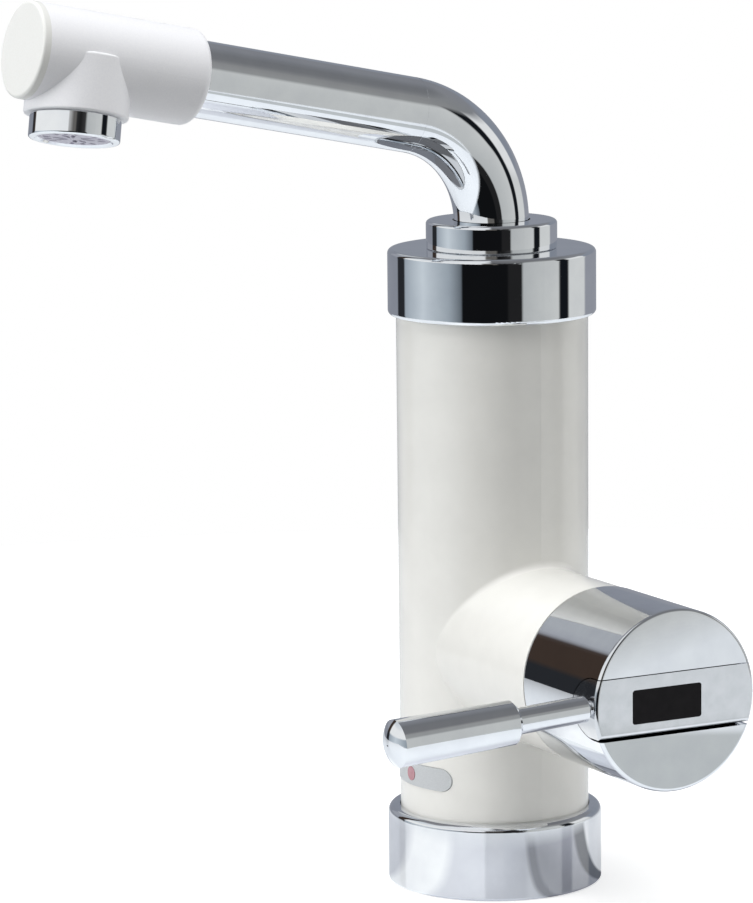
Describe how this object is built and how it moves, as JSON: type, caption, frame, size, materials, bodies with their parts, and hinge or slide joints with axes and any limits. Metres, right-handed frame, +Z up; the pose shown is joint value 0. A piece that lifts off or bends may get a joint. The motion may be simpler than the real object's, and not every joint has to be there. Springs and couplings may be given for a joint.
{
  "type": "boiling water tap",
  "caption": "Instant boiling water tap with a white column, a swivelling bent chrome spout with aerator nozzle, and a side valve barrel with display handle and lever.",
  "frame": {"origin": "centre of the seat on the worktop, on the column's axis", "axes": "+Z up the column, -Y the way the spout and the indicator face, +X along the valve barrel to the handle, +Y the way the mains lead leaves"},
  "size_m": [0.145, 0.1969, 0.348],
  "materials": {
    "chrome": "bright chrome plate over brass",
    "satin_chrome": "chrome plate, slightly satin on the flat face",
    "white_shell": "gloss moulded ABS",
    "white_nozzle": "satin moulded heat-resistant plastic",
    "grey_plate": "printed grey film on a moulded plate",
    "red_lens": "clear red moulding",
    "black_window": "dark tinted acrylic",
    "board": "glass-fibre circuit board with parts",
    "white_nylon": "moulded nylon",
    "plated_steel": "zinc-plated steel",
    "black_rubber": "moulded rubber",
    "brass": "turned brass",
    "black_nylon": "moulded nylon",
    "grey_nylon": "moulded glass-filled nylon",
    "mesh_plastic": "moulded plastic jet plate",
    "acetal": "turned acetal",
    "ceramic": "lapped alumina",
    "copper": "drawn copper tube",
    "stainless": "drawn stainless steel",
    "element_sheath": "annealed stainless sheath"
  },
  "bodies": {
    "root": {"base_ring": "chrome", "top_collar": "chrome", "spout_nut": "chrome", "column_shell": "white_shell", "indicator_panel": "grey_plate", "indicator_lens": "red_lens", "indicator_lamp": "red_lens", "control_board": "board", "terminal_block": "white_nylon", "flow_switch": "white_nylon", "base_plate": "plated_steel", "base_screws": "plated_steel", "base_gasket": "black_rubber", "valve_seal": "black_rubber", "chamber_seal": "black_rubber", "inlet_shank": "brass", "spout_socket": "brass", "valve_body": "brass", "cartridge_nut": "brass", "cable_gland": "black_nylon", "thermal_cutout": "black_nylon", "cartridge_body": "grey_nylon", "spout_bush": "acetal", "fixed_disc": "ceramic", "inlet_tube": "copper", "heater_chamber": "stainless", "chamber_lid": "stainless", "heating_element": "element_sheath"},
    "spout": {"spout_pipe": "chrome", "spout_tail": "brass", "spout_clip": "plated_steel", "spout_o_rings": "black_rubber", "nozzle_sleeve": "white_nozzle", "nozzle_end_cap": "white_nozzle", "nozzle_insert": "grey_nylon", "aerator_housing": "chrome", "aerator_insert": "mesh_plastic", "aerator_washer": "black_rubber"},
    "handle": {"handle_head": "chrome", "handle_bar": "satin_chrome", "display_window": "black_window", "display_module": "board", "lever_rod": "chrome", "lever_grip": "chrome", "handle_screw": "plated_steel", "valve_spindle": "brass", "spindle_o_ring": "black_rubber", "moving_disc": "ceramic"},
    "clamp": {"clamp_washer": "plated_steel"},
    "nut": {"mounting_nut": "brass"}
  },
  "joints": [
    {"name": "spout_swivel", "type": "hinge", "parent": "root", "child": "spout", "pos_m": [0, 0, 0.2], "axis": [0, 0, 1], "continuous": true},
    {"name": "handle_turn", "type": "hinge", "parent": "root", "child": "handle", "pos_m": [0.08, 0, 0.0769], "axis": [1, 0, 0], "range_deg": [-90, 40]},
    {"name": "clamp_travel", "type": "slide", "parent": "root", "child": "clamp", "axis": [0, 0, 1], "range_m": [-0.0144, 0.0194]},
    {"name": "nut_turn", "type": "hinge", "parent": "clamp", "child": "nut", "pos_m": [0, 0, -0.026], "axis": [0, 0, 1], "range_deg": [-3460, 4660]}
  ],
  "couplings": [
    {"joint": "nut_turn", "follows": "clamp_travel", "rad_per_m": 4188.8}
  ]
}
